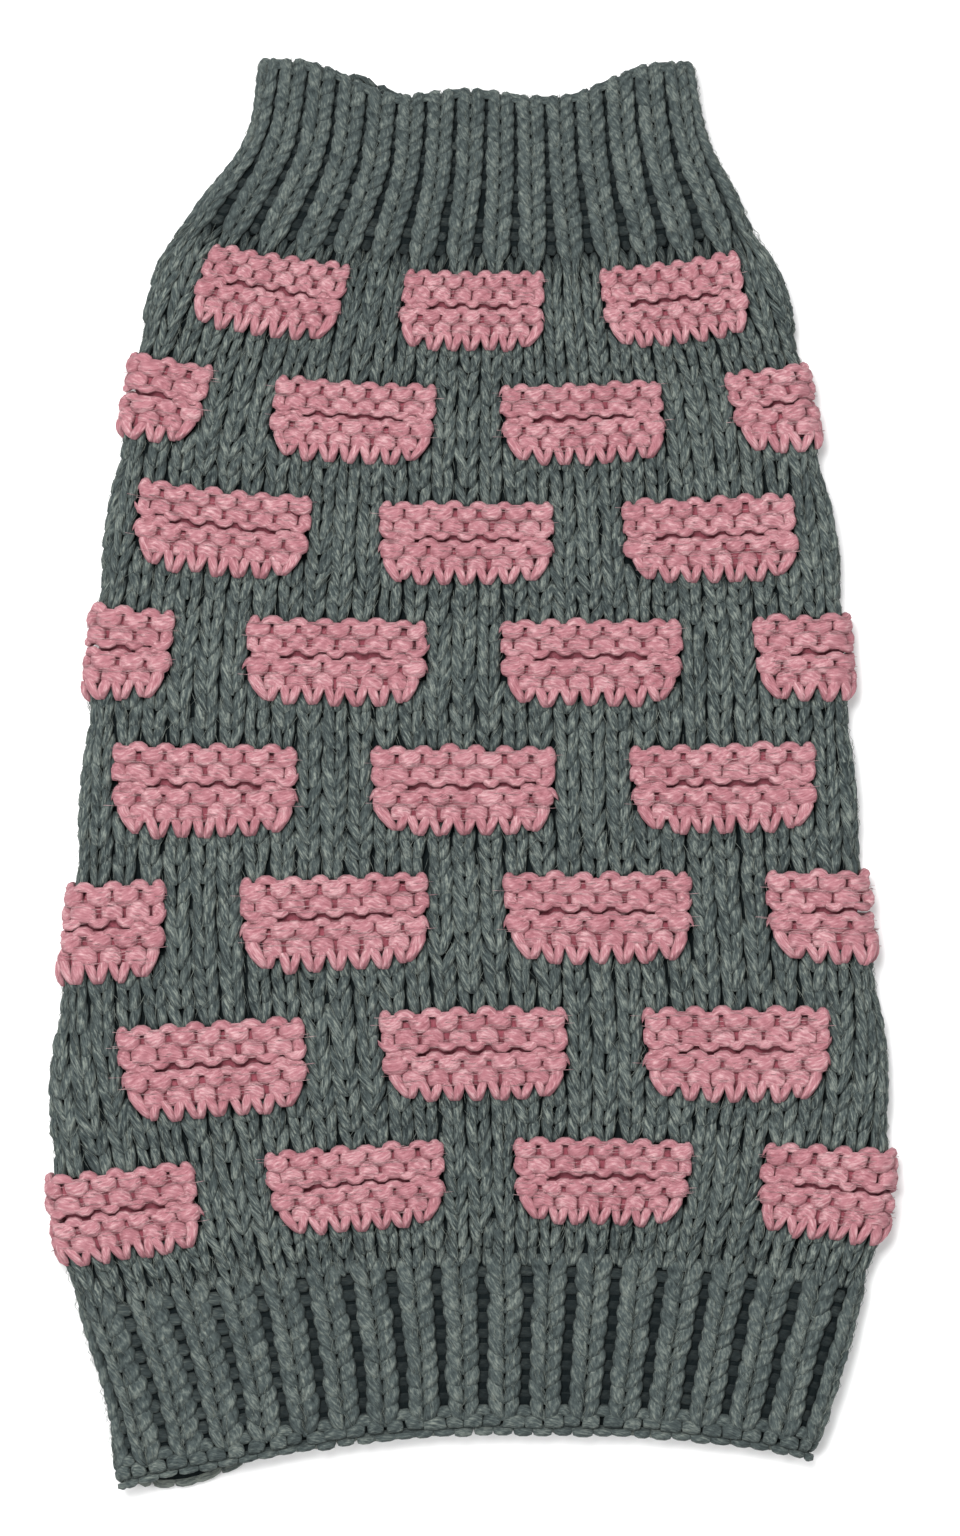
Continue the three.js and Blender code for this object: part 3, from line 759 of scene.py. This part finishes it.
def cloth_sheet(name, columns, rows, place, material, closed=False):
    """place(part_across, part_down) gives the points, with both parts from 0 to 1."""
    bpy.ops.object.select_all(action="DESELECT")
    bpy.ops.mesh.primitive_grid_add(x_subdivisions=columns, y_subdivisions=rows, size=1, location=(0, 0, 0))
    sheet = bpy.context.object
    sheet.name = name
    sheet.data.name = name
    flat = np.array([v.co for v in sheet.data.vertices], float)
    points, stitches, rows_down = place(flat[:, 0] + 0.5, 0.5 - flat[:, 1])
    sheet.data.vertices.foreach_set("co", np.ascontiguousarray(points, np.float32).ravel())
    inside = np.stack([stitches * STITCH_WIDTH, rows_down * ROW_HEIGHT, np.zeros(len(points))], axis=1)
    # The cloth gets the full painted shade colour.
    add_yarn_attributes(sheet.data, inside, np.full(len(points), 0.5), np.full(len(points), 1.0))
    if closed:
        bpy.ops.object.mode_set(mode="EDIT")
        bpy.ops.mesh.select_all(action="SELECT")
        bpy.ops.mesh.remove_doubles(threshold=0.00001)
        bpy.ops.object.mode_set(mode="OBJECT")
    thicken = sheet.modifiers.new("wall", "SOLIDIFY")
    thicken.thickness = CLOTH_WALL * MM
    thicken.offset = -1
    bpy.ops.object.modifier_apply(modifier="wall")
    bpy.ops.object.shade_smooth()
    sheet.data.materials.append(material)
    print(name, "faces:", len(sheet.data.polygons))
    return sheet


def ring_place(first_row, last_row, half_count, place_map):
    def place(part_across, part_down):
        row = first_row + (last_row - first_row) * part_down
        stitch = (2 * part_across - 1) * half_count
        return place_map(row, stitch, np.full(len(row), CLOTH_OUT)), stitch, row
    return place


def finish_piece(piece, slot, *replaced):
    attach(piece, "root")
    if replaced:
        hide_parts(*replaced)


# %% [markdown]
# ## Collar
# The collar is a tube of one-by-one rib: raised columns of Vs with a narrow groove between them.
# Pulled together like this, the purl stitches hide in the grooves and only show near the body, where
# the ribs spread. The Vs run right over the rim.

# %% Collar
COLLAR_RIB_WIDE = 1.78
COLLAR_NARROWING = 0.4
COLLAR_SPREAD_ROWS = 3
GROOVE_DEPTH = -3.6
RIB_MIDDLE = -1.9
rib_centres = np.arange(-COLLAR_HALF_STITCHES + 1, COLLAR_HALF_STITCHES, 2)
groove_centres = np.arange(-COLLAR_HALF_STITCHES, COLLAR_HALF_STITCHES, 2)
collar_rows = np.arange(-COLLAR_ROWS, 0) + 0.5


def crossed(rows, stitches):
    """Every row with every stitch, as two flat lists."""
    grid = np.meshgrid(rows, stitches, indexing="ij")
    return grid[0].ravel(), grid[1].ravel()


collar_cloth = cloth_sheet("collar_cloth", 128, 12,
                           ring_place(-COLLAR_ROWS + EDGE_ROOM, -SEAM_ROOM, COLLAR_HALF_STITCHES, collar_map),
                           grey_painted_shade, closed=True)
rows, stitches = crossed(np.append(-COLLAR_ROWS - 0.35, collar_rows), rib_centres)
spread = np.clip((rows + COLLAR_ROWS) / COLLAR_ROWS, 0, 1)
collar_wide = COLLAR_RIB_WIDE - COLLAR_NARROWING * spread ** 2
seen = np.abs(stitches) <= COLLAR_HALF_STITCHES / 2 + 1
collar_vs = lay_vs(rib_leg, collar_map, rows[seen], stitches[seen], wide=collar_wide[seen],
                   long=1.05, jitter=0.6)
collar_vs += lay_vs(plain_rib_leg, collar_map, rows[~seen], stitches[~seen], wide=collar_wide[~seen],
                    long=1.05)
collar_vs.append(lay(purl, collar_map, rows[seen] + 0.55, stitches[seen], out=RIB_MIDDLE, wide=0.5,
                     jitter=0.6))
collar_vs.append(lay_fibres(fibre_along, collar_map, rows[seen], stitches[seen], 5, 0.0))
rows, stitches = crossed(collar_rows, groove_centres)
near_body = smooth((rows + COLLAR_SPREAD_ROWS) / COLLAR_SPREAD_ROWS)
# Painted shade: the purls in the grooves are coloured darker, most of all near the body, where the collar's base lies
# in a hollow.
collar_purls = lay(purl, collar_map, rows, stitches, out=GROOVE_DEPTH + 0.7 * near_body,
                   wide=0.9 - 0.3 * near_body, dim=0.3 + 0.35 * near_body, jitter=2.2)
# The rim loops get a little less painted shade than their depth would give.
rows, stitches = crossed([-COLLAR_ROWS - 0.2, -COLLAR_ROWS + 0.55], groove_centres)
rim_loops = lay(purl, collar_map, rows, stitches, out=np.where(rows < -COLLAR_ROWS, -1.3, -2.0), wide=1.15,
                dim=-0.2)
collar_stitches = join_strands("collar_ribs", [*collar_vs, collar_purls, rim_loops], grey_rib)

finish_piece(collar_cloth, "grey_yarn", "neck_rib")
finish_piece(collar_stitches, "grey_yarn")

# %% [markdown]
# ## Hem
# The hem is the same rib, knitted wider, so the grooves are open and the purl bumps show dimly inside
# them. It ends in the cast-off edge: two rows of small loops, one between the other.

# %% Hem
HEM_RIB_WIDE = 1.48
hem_ribs = np.arange(-HEM_HALF_STITCHES + 1, HEM_HALF_STITCHES, 2)
hem_grooves = np.arange(-HEM_HALF_STITCHES, HEM_HALF_STITCHES, 2)
hem_rows = BODY_ROWS + np.arange(10)
CAST_OFF_ROWS = (67.45, 68.5)
FULLER = {"from_stitch": 5, "over": 9}


def fuller(stitches):
    """Towards the left the hem's ribs lie fuller."""
    return smooth((-stitches - FULLER["from_stitch"]) / FULLER["over"])


hem_cloth = cloth_sheet("hem_cloth", 144, 12,
                        ring_place(BODY_ROWS + SEAM_ROOM, HEM_EDGE_ROW - EDGE_ROOM, HEM_HALF_STITCHES, hem_map),
                        grey_painted_shade, closed=True)
rows, stitches = crossed(hem_rows, hem_ribs)
seen = np.abs(stitches) <= HEM_HALF_STITCHES / 2 + 1
towards_left = fuller(stitches) * seen
hem_vs = [lay(rib_leg, hem_map, rows[seen], stitches[seen], wide=HEM_RIB_WIDE + 0.35 * towards_left[seen],
              out=-0.4 * towards_left[seen], jitter=0.8),
          lay(rib_leg, hem_map, rows[seen], stitches[seen], wide=HEM_RIB_WIDE - 0.2 * towards_left[seen],
              mirror=-1, jitter=0.8)]
hem_vs += lay_vs(plain_rib_leg, hem_map, rows[~seen], stitches[~seen], wide=HEM_RIB_WIDE)
hem_vs.append(lay(purl, hem_map, rows[seen] + 0.55, stitches[seen], out=RIB_MIDDLE - 0.2, wide=0.4,
                  jitter=0.8))
hem_vs.append(lay_fibres(fibre_along, hem_map, rows[seen], stitches[seen], 6, 0.0))
rows, stitches = crossed(hem_rows + 0.2, hem_grooves)
towards_left = fuller(stitches) * (np.abs(stitches) <= HEM_HALF_STITCHES / 2)
near_body = smooth((BODY_ROWS + 2.2 - rows) / 2.0)
# Painted shade: the purls deep in the open grooves are coloured darker, a little less so where the ribs lie fuller on
# the left.
hem_purls = lay(purl, hem_map, rows, stitches - 0.15 * towards_left,
                out=GROOVE_DEPTH + 0.55 * towards_left + 0.5 * near_body, wide=1.0 + 0.5 * towards_left,
                long=1.0 + 0.12 * towards_left, dim=0.5 - 0.2 * towards_left, jitter=1.5)
rows, stitches = crossed([66.8], hem_grooves)
groove_ends = lay(roll, hem_map, rows, stitches, out=-2.6, wide=0.9, long=0.8)
every_stitch = np.arange(-HEM_HALF_STITCHES, HEM_HALF_STITCHES) + 0.5
rows, stitches = crossed(CAST_OFF_ROWS[:1], every_stitch)
cast_off_upper = lay(roll, hem_map, rows, stitches, out=-2.0, wide=0.98, long=0.95, jitter=2)
rows, stitches = crossed(CAST_OFF_ROWS[1:], every_stitch + 0.5)
cast_off_lower = []
under_edge = np.abs(stitches) > HEM_HALF_STITCHES / 2 + 0.5
# Painted light: the lower layer's loops that show past the upper one get no painted shade and a lighter tone, which
# takes away the shadow that the upper layer casts on them.
for part, lighter in ((~under_edge, 0), (under_edge, 1)):
    cast_off_lower.append(lay(roll, hem_map, rows[part], stitches[part], out=-1.9, wide=1.05, dim=-lighter,
                              tone=1.6 * lighter, jitter=1.3))
hem_stitches = join_strands("hem_ribs", [*hem_vs, hem_purls, groove_ends, cast_off_upper, *cast_off_lower],
                            grey_rib)

finish_piece(hem_cloth, "grey_yarn", "hem_rib")
finish_piece(hem_stitches, "grey_yarn")

# %% [markdown]
# ## Back panel
# The back panel wraps round both folds and ends at the belly seams. Its grey stitches are plain Vs,
# left out where a pink block takes their place. Beside a block the Vs open wide, and in the plain
# rows above and below the blocks they are squeezed upright.

# %% Back panel
BACK_GRID = (150, 84)
SEEN_TURN = 2.1  # the fold shows down to this angle
MOST_STITCHES = 24
SEAM_MARGIN = 2.5
BLOCK_SPOT_HALF = 3.1
LAST_BLOCK_STITCH = {"odd_row": 13.6, "even_row": 18.6}


def back_across_end(row, side):
    half = half_section(station_at(row), side)
    return half["under"] + half["flat"] - SEAM_SHARE * half["reach"]


def back_place(part_across, part_down):
    row = SEAM_ROOM + (BODY_ROWS - 2 * SEAM_ROOM) * part_down
    side = np.where(part_across < 0.5, -1.0, 1.0)
    across = (2 * part_across - 1) * back_across_end(row, side)
    stitch = across / station_at(row)["pitch"]
    return back_map(row, stitch, np.full(len(row), CLOTH_OUT)), stitch, row


back_cloth = cloth_sheet("back_cloth", *BACK_GRID, back_place, grey_painted_shade)

body_rows = np.arange(int(BODY_ROWS)) + 0.5
rows, stitches = crossed(body_rows, np.arange(-MOST_STITCHES, MOST_STITCHES + 1))
side = np.where(stitches < 0, -1.0, 1.0)
inside_seam = np.abs(stitches) * station_at(rows)["pitch"] < back_across_end(rows, side) - SEAM_MARGIN
offset = np.abs(block_offset(rows)(stitches))
row_in_pattern = rows % PATTERN_ROWS
last_block_stitch = np.where(block_row_of(rows) % 2 == 0, LAST_BLOCK_STITCH["odd_row"],
                             LAST_BLOCK_STITCH["even_row"])
block_spot = ((offset <= BLOCK_SPOT_HALF) & (np.abs(stitches) < last_block_stitch) & (rows < BLOCK_ROWS * PATTERN_ROWS)
              & (row_in_pattern > BLOCK_FIRST_ROW) & (row_in_pattern < BLOCK_FIRST_ROW + BLOCK_LENGTH - 1))
plain = inside_seam & ~block_spot
rows, stitches = rows[plain], stitches[plain]
beside_block = smooth(np.abs(block_offset(rows)(stitches)) - 3.0) * smooth(rows_from_band(rows) / 2.0)
late_rows = smooth((row_in_pattern[plain] - 3.2) / 2.4)
open_lean = -0.03 + beside_block * (0.03 + 0.08 * late_rows) + rng.normal(0, 0.025, len(rows))
half = half_section(station_at(rows), np.where(stitches < 0, -1, 1))
on_top = np.abs(stitches) * station_at(rows)["pitch"] < half["flat"] + SEEN_TURN * half["radius"]
# Painted shade: stitches in the sunken bands are coloured darker, the more so the deeper they sink.
sunken = np.maximum(-soft_form(rows, stitches), 0)
# The first and last rows still follow the ribs: the stitches between two ribs lie lower and get
# painted shade
groove_pull = (stitches % 2 == 0) * (smooth((1.7 - rows) / 1.2) + smooth((rows - BODY_ROWS + 2.6) / 2.0))
back_stitches = []
for name, part in (("upper", rows < BODY_ROWS / 2), ("lower", rows > BODY_ROWS / 2)):
    part = part & on_top
    back_vs = lay_vs(leg, back_map, rows[part], stitches[part], lean=open_lean[part],
                     out=-1.1 * groove_pull[part], wide=1.05, long=1.0 + 0.1 * beside_block[part],
                     dim=0.10 * sunken[part] + 0.2 * groove_pull[part], jitter=1.25)
    back_vs.append(lay_fibres(fibre_along, back_map, rows[part], stitches[part], 5, -0.05))
    back_stitches.append(join_strands("back_stitches_" + name, back_vs, grey_yarn))
under_vs = lay_vs(plain_leg, back_map, rows[~on_top], stitches[~on_top], lean=0.05)
# One more column runs along each belly seam and closes the gap beside the last whole stitch
for seam_side in (-1, 1):
    pitch = station_at(body_rows)["pitch"]
    seam_stitch = seam_side * (back_across_end(body_rows, seam_side) / pitch - 0.45)
    under_vs += lay_vs(plain_leg, back_map, body_rows, seam_stitch, out=-0.4, wide=1.1)
back_stitches.append(join_strands("back_stitches_under", under_vs, grey_yarn))

finish_piece(back_cloth, "grey_yarn", "back_panel")
for back_piece in back_stitches:
    finish_piece(back_piece, "grey_yarn")

# %% [markdown]
# ## Pink blocks
# A block is seven stitches wide. It has two thick ridges, each of two rows of rolls set like bricks,
# with thin arches over the slits. Under the second ridge hang seven pink Vs, the outer ones short.
# Each block has a padded heart under its loops, so that no grey shows through. It is coloured in
# dark rose painted shade, as it shows only in the slits.

# %% Blocks
BLOCK_LIFT = 1.2
BLOCK_PROUD = 3.1
PAD_TOP = 0.8
PAD_BOTTOM = -2.3
PAD = {"middle_row": 2.27, "half_length": 2.0, "inset": 0.25, "rounding": 0.08, "edge_drop": 0.8,
       "tapering": 0.14, "tapers_from": 2.4, "tapers_over": 1.6, "groove": 2.6, "groove_half": 0.34}
NARROWING = {"bulge": 1.035, "draw_in": 0.165, "from_row": 2.3, "over_rows": 2.6}
BLOCK_END = 3.2
ROLL_ROWS = {"upper_a": (0.68, 0), "upper_b": (1.42, 1), "lower_a": (2.80, 0), "lower_b": (3.52, 1)}
ARCH_ROWS = {"upper_top": (0.20, 1, 1), "upper_bottom": (1.86, 0, -1), "lower_top": (2.42, 1, 1)}
ROLL_WIDE = 0.935
TIP_ROW = 4.28
TIP_SPACING = 0.87
GROOVE_ROW = 2.13
CORNER_RISE = 0.25


def block_map(row, stitch, out):
    """As the back panel's map, but a block that reaches the underside lies level with the floor."""
    across = stitch * station_at(row)["pitch"]
    half = half_section(station_at(row), np.where(across < 0, -1, 1))
    turned = (np.abs(across) - half["flat"]) / half["radius"]
    return back_map(row, stitch, out - BLOCK_PROUD * smooth((turned - 0.9) / 1.9))


def block_pad(name, first_row, centre):
    """A flat cushion under the loops: a cube, subdivided and rounded, then laid on the cloth."""
    bpy.ops.object.select_all(action="DESELECT")
    bpy.ops.mesh.primitive_cube_add(size=2, location=(0, 0, 0))
    pad = bpy.context.object
    pad.name = name
    bpy.ops.object.mode_set(mode="EDIT")
    bpy.ops.mesh.select_all(action="SELECT")
    bpy.ops.mesh.subdivide(number_cuts=7)
    bpy.ops.mesh.quads_convert_to_tris()
    bpy.ops.object.mode_set(mode="OBJECT")
    corner = np.array([v.co for v in pad.data.vertices], float)
    faces = np.array([list(p.vertices) for p in pad.data.polygons], int)
    bpy.data.objects.remove(pad)
    rounding = 1 - PAD["rounding"] * (np.abs(corner[:, :1]) ** 4 + np.abs(corner[:, 1:2]) ** 4) * (corner[:, 2:] > 0)
    corner[:, :2] *= rounding
    down = PAD["middle_row"] - PAD["half_length"] * corner[:, 1]
    row = first_row + down
    taper = 1 - PAD["tapering"] * smooth((down - PAD["tapers_from"]) / PAD["tapers_over"])
    stitch = centre + corner[:, 0] * (BLOCK_HALF - PAD["inset"]) * taper
    edge = np.maximum(np.abs(corner[:, 0]), np.abs(corner[:, 1])) ** 6
    groove = PAD["groove"] * np.exp(-((row - first_row - GROOVE_ROW) / PAD["groove_half"]) ** 2)
    height = np.where(corner[:, 2] > 0, PAD_TOP - PAD["edge_drop"] * edge - groove, PAD_BOTTOM)
    between = (corner[:, 2] + 1) / 2
    height = PAD_BOTTOM + (height - PAD_BOTTOM) * between
    points = block_map(row, stitch, height)
    inside = np.stack([stitch * STITCH_WIDTH, row * ROW_HEIGHT, height], axis=1)
    # The pad takes nearly all of the dark rose shade colour: painted shade for the slits between the rolls, where only
    # the pad shows.
    return {"points": points, "faces": faces, "inside": inside, "own": np.full(len(points), 0.4),
            "depth": np.full(len(points), 0.9)}


def narrowing(down):
    """A block bulges past its seven stitches, and its lower half draws in towards the tips."""
    drawn_in = smooth((down - NARROWING["from_row"]) / NARROWING["over_rows"])
    return NARROWING["bulge"] - NARROWING["draw_in"] * drawn_in


def block_piece(name, row_number, centre):
    first_row = (row_number - 1) * PATTERN_ROWS + BLOCK_FIRST_ROW
    batches = [block_pad(name + "_pad", first_row, centre)]
    whole = np.arange(-3, 4.0)
    halves = np.arange(-2.5, 3.0)
    ends = np.array([-BLOCK_END, BLOCK_END])
    for down, staggered in ROLL_ROWS.values():
        narrow = narrowing(down)
        places = (halves if staggered else whole) * narrow
        batches.append(lay(roll, block_map, np.full(len(places), first_row + down), centre + places,
                           out=BLOCK_LIFT, wide=ROLL_WIDE * narrow, flip=1 if staggered else -1,
                           crown=BLOCK_PROUD))
        batches.append(lay_fibres(fibre_across, block_map, np.full(len(places), first_row + down),
                                  centre + places, 5, BLOCK_PROUD - 0.05, BLOCK_PROUD))
        if staggered and down < GROOVE_ROW:
            batches.append(lay(roll, block_map, np.full(2, first_row + down), centre + ends * narrow,
                               out=BLOCK_LIFT - 0.5, wide=0.55, long=0.95, crown=BLOCK_PROUD))
    for down, at_halves, way in ARCH_ROWS.values():
        narrow = narrowing(down)
        places = (halves if at_halves else whole) * narrow
        batches.append(lay(arch, block_map, np.full(len(places), first_row + down), centre + places,
                           out=BLOCK_LIFT, flip=way, wide=narrow, crown=BLOCK_PROUD - 0.5))
        if at_halves:
            batches.append(lay(arch, block_map, np.full(2, first_row + down + 0.05), centre + ends * narrow,
                               out=BLOCK_LIFT - 0.6, flip=way, wide=0.6, crown=BLOCK_PROUD - 0.8))
    groove_ends = np.array([-3.0, -2.5, 2.5, 3.0])
    batches.append(lay(roll, block_map, np.full(4, first_row + GROOVE_ROW), centre + groove_ends,
                       out=BLOCK_LIFT - 0.9, wide=0.7, long=0.5, crown=BLOCK_PROUD - 1.0))
    for side in (1, -1):
        inner = whole * side < 2.5
        tip_rows = first_row + TIP_ROW - CORNER_RISE * (np.abs(whole) > 2.5)
        batches.append(lay(tip_leg, block_map, tip_rows[inner], centre + whole[inner] * TIP_SPACING,
                           out=BLOCK_LIFT, mirror=side, crown=BLOCK_PROUD - 1.0))
        corner = np.array([first_row + TIP_ROW - CORNER_RISE])
        batches.append(lay(corner_strand, block_map, corner, centre + side * 3 * TIP_SPACING,
                           out=BLOCK_LIFT - 0.2, mirror=side, crown=BLOCK_PROUD - 0.8))
    piece = join_strands(name, batches, pink_yarn)
    finish_piece(piece, "pink_yarn", "brick_" + name.removeprefix("block_"))
    return piece


ODD_PLACES = {"left": -10, "middle": 0, "right": 10}
EVEN_PLACES = {"left_fold": -15, "left": -5, "right": 5, "right_fold": 15}
for row_number in range(1, BLOCK_ROWS + 1):
    places = ODD_PLACES if row_number % 2 == 1 else EVEN_PLACES
    for label, centre in places.items():
        block_piece(f"block_{row_number}_{label}", row_number, centre)

# %% [markdown]
# ## Belly panel
# The belly is plain knitting between the two seams, with an opening for each front leg. It lies face
# down, so its stitches are flat. The openings are cut out of the sheet with a Boolean modifier, and a
# ring of small loops finishes each edge, as a cast-off edge would.

# %% Belly panel
OPENING = {"width": 38.0, "length": 46.0, "x": 38.0, "y": 98.0}
OPENING_STITCHES = 24
OPENING_RINGS = ((0.55, 0.0), (1.5, 0.5))
OPENING_ROW_HEIGHT = 3.0
CUT_ROOM = 1.2


def belly_place(part_across, part_down):
    row = SEAM_ROOM + (BODY_ROWS - 2 * SEAM_ROOM) * part_down
    stitch = (1 - 2 * part_across) * -BELLY_HALF_STITCHES
    return belly_map(row, stitch, np.full(len(row), CLOTH_OUT)), stitch, row


belly_cloth = cloth_sheet("belly_cloth", 60, 84, belly_place, grey_painted_shade)


def cut_opening(sheet, x):
    bpy.ops.object.select_all(action="DESELECT")
    bpy.ops.mesh.primitive_cylinder_add(vertices=64, radius=MM, depth=20 * MM,
                                        location=(x * MM, OPENING["y"] * MM, 0))
    cutter = bpy.context.object
    cutter.scale = (OPENING["width"] / 2 + CUT_ROOM, OPENING["length"] / 2 + CUT_ROOM, 1)
    bpy.ops.object.transform_apply(location=True, rotation=True, scale=True)
    bpy.ops.object.select_all(action="DESELECT")
    bpy.context.view_layer.objects.active = sheet
    sheet.select_set(True)
    cut = sheet.modifiers.new("opening", "BOOLEAN")
    cut.operation = "DIFFERENCE"
    cut.object = cutter
    bpy.ops.object.modifier_apply(modifier="opening")
    bpy.data.objects.remove(cutter)


for opening_side in (-1, 1):
    cut_opening(belly_cloth, opening_side * OPENING["x"])


def outside_openings(rows, stitches, margin):
    places = belly_map(rows, stitches, 0) / MM
    clear = np.ones(len(rows), bool)
    for opening_side in (-1, 1):
        wide = (places[:, 0] - opening_side * OPENING["x"]) / (OPENING["width"] / 2 + margin)
        long = (places[:, 1] - OPENING["y"]) / (OPENING["length"] / 2 + margin)
        clear &= wide ** 2 + long ** 2 > 1
    return clear


rows, stitches = crossed(body_rows, np.arange(-BELLY_HALF_STITCHES, BELLY_HALF_STITCHES) + 0.5)
clear = outside_openings(rows, stitches, OPENING_ROW_HEIGHT)
belly_vs = lay_vs(plain_leg, belly_map, rows[clear], stitches[clear], lean=0.04)


def opening_map(side):
    """Stitches run round the opening, and rows run outwards from its edge."""
    def place_map(row, stitch, out):
        row, stitch, out = np.broadcast_arrays(row, stitch, out)
        angle = -stitch / OPENING_STITCHES * 2 * math.pi
        x = side * OPENING["x"] + (OPENING["width"] / 2 + row * OPENING_ROW_HEIGHT) * np.cos(angle)
        y = OPENING["y"] + (OPENING["length"] / 2 + row * OPENING_ROW_HEIGHT) * np.sin(angle)
        return np.stack([x, y, -out], axis=-1) * MM
    return place_map


rims = []
for opening_side in (-1, 1):
    for ring, half in OPENING_RINGS:
        places = np.arange(OPENING_STITCHES) + half
        rims.append(lay(roll, opening_map(opening_side), np.full(len(places), ring), places, out=-2.0,
                        flip=-1, wide=1.0))
belly_stitches = join_strands("belly_stitches", [*belly_vs, *rims], grey_yarn)

finish_piece(belly_cloth, "grey_yarn", "belly_panel")
finish_piece(belly_stitches, "grey_yarn")
